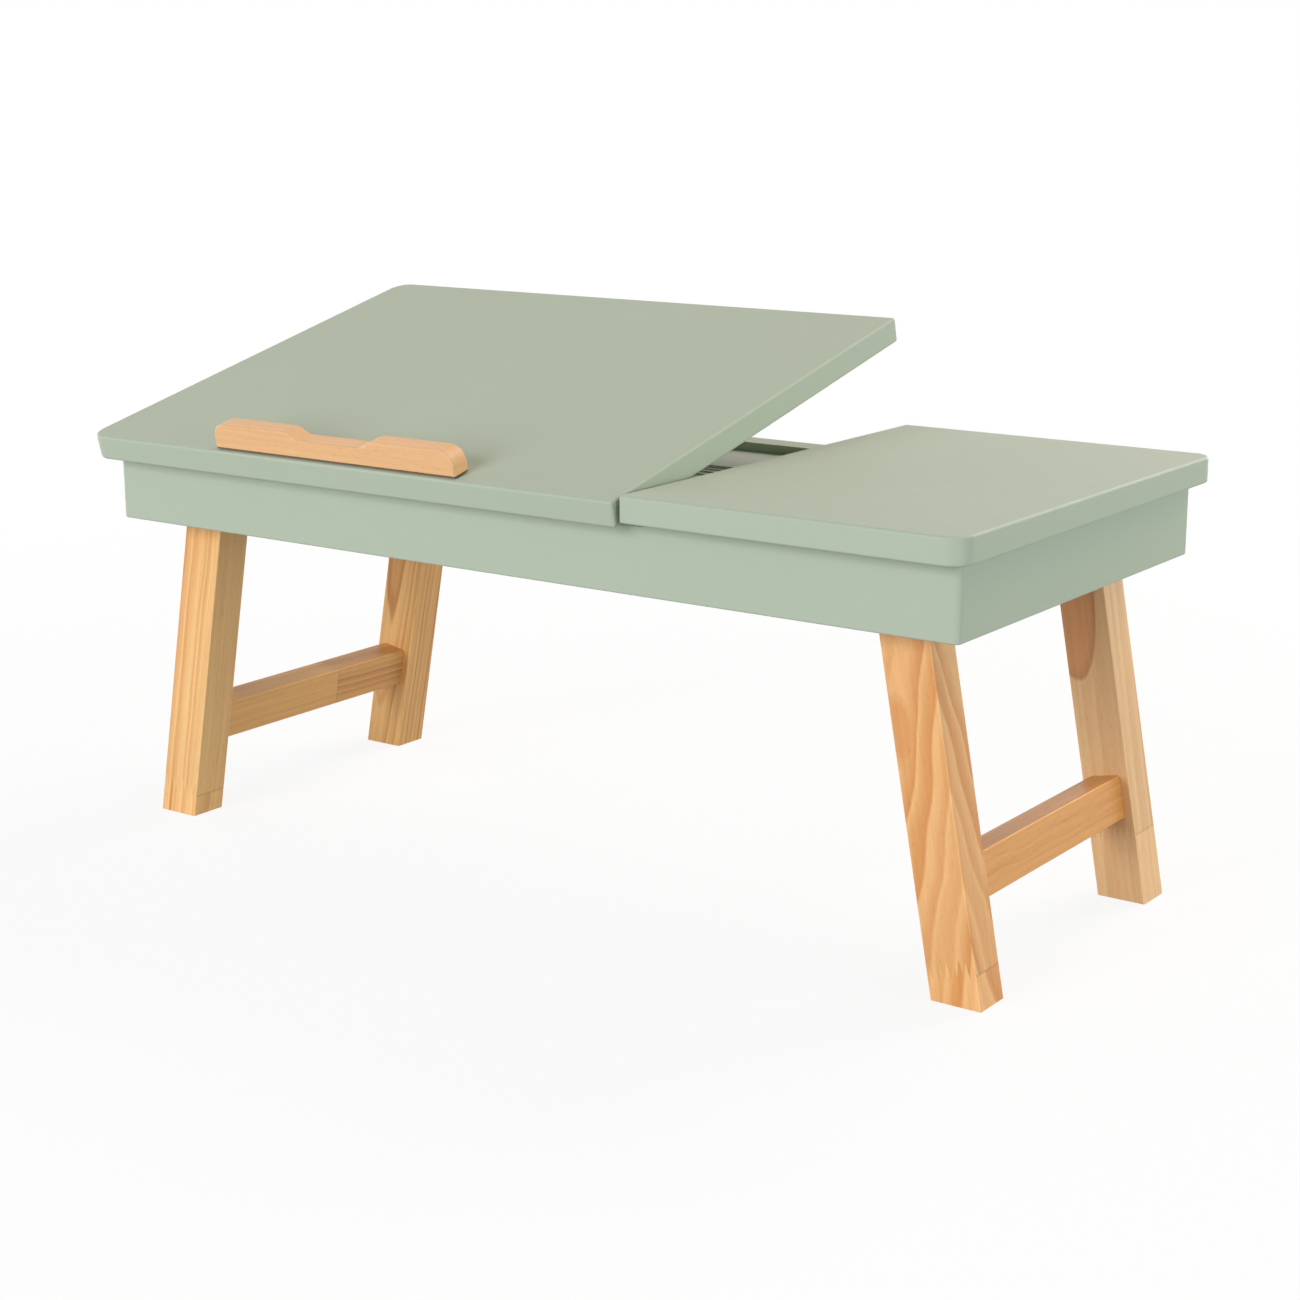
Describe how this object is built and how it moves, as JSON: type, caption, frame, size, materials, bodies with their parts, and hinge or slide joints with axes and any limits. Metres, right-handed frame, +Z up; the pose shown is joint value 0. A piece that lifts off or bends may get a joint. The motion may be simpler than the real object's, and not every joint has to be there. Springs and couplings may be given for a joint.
{
  "type": "folding laptop table",
  "caption": "Low folding bed table with a hinged reading panel on a wire prop, a book ledge, a fixed side top and splayed wooden leg frames that fold under the apron.",
  "frame": {"origin": "on the floor under the middle of the table", "axes": "+X along the table from the tilting panel to the fixed top, +Y to the back, +Z up"},
  "size_m": [0.6, 0.3022, 0.318],
  "materials": {
    "sage_paint": "satin sage-green paint",
    "board_paint": "thin pale green paint",
    "pine": "clear satin lacquer",
    "ledge_wood": "clear satin lacquer",
    "dowel_wood": "bare",
    "steel": "bright zinc plate",
    "insert_brass": "plain",
    "nylon": "natural"
  },
  "bodies": {
    "frame": {"front_apron": "sage_paint", "back_apron": "sage_paint", "left_apron": "sage_paint", "right_apron": "sage_paint", "apron_dowels": "dowel_wood", "support_board": "board_paint", "fixed_top": "sage_paint", "fixed_top_dowels": "dowel_wood", "hinge_frame_leaf": "steel", "hinge_pin": "steel", "hinge_frame_screws": "steel", "pivot_bolts": "steel", "pivot_inserts": "insert_brass", "pivot_spacers": "nylon"},
    "reading_panel": {"tilt_panel": "sage_paint", "hinge_panel_leaf": "steel", "hinge_panel_screws": "steel", "book_ledge": "ledge_wood", "ledge_screws": "steel", "prop_saddles": "steel", "saddle_screws": "steel"},
    "prop": {"prop_bail": "steel"},
    "right_leg_frame": {"right_front_leg": "pine", "right_back_leg": "pine", "right_stretcher": "pine", "right_stretcher_dowels": "dowel_wood", "right_leg_bushes": "nylon"},
    "left_leg_frame": {"left_front_leg": "pine", "left_back_leg": "pine", "left_stretcher": "pine", "left_stretcher_dowels": "dowel_wood", "left_leg_bushes": "nylon"}
  },
  "joints": [
    {"name": "panel_tilt", "type": "hinge", "parent": "frame", "child": "reading_panel", "pos_m": [-0.10175, -0.137, 0.2353], "axis": [1, 0, 0], "range_deg": [-13.5, 21.5]},
    {"name": "prop_swing", "type": "hinge", "parent": "reading_panel", "child": "prop", "pos_m": [-0.10175, -0.03941, 0.25719], "axis": [1, 0, 0], "range_deg": [-43, 27]},
    {"name": "right_leg_fold", "type": "hinge", "parent": "frame", "child": "right_leg_frame", "pos_m": [0.244, 0, 0.2112], "axis": [0, 1, 0], "range_deg": [0, 100.5]},
    {"name": "left_leg_fold", "type": "hinge", "parent": "frame", "child": "left_leg_frame", "pos_m": [-0.244, 0, 0.2112], "axis": [0, -1, 0], "range_deg": [0, 100.5]}
  ],
  "couplings": [
    {"joint": "prop_swing", "follows": "panel_tilt", "ratio": -2}
  ]
}
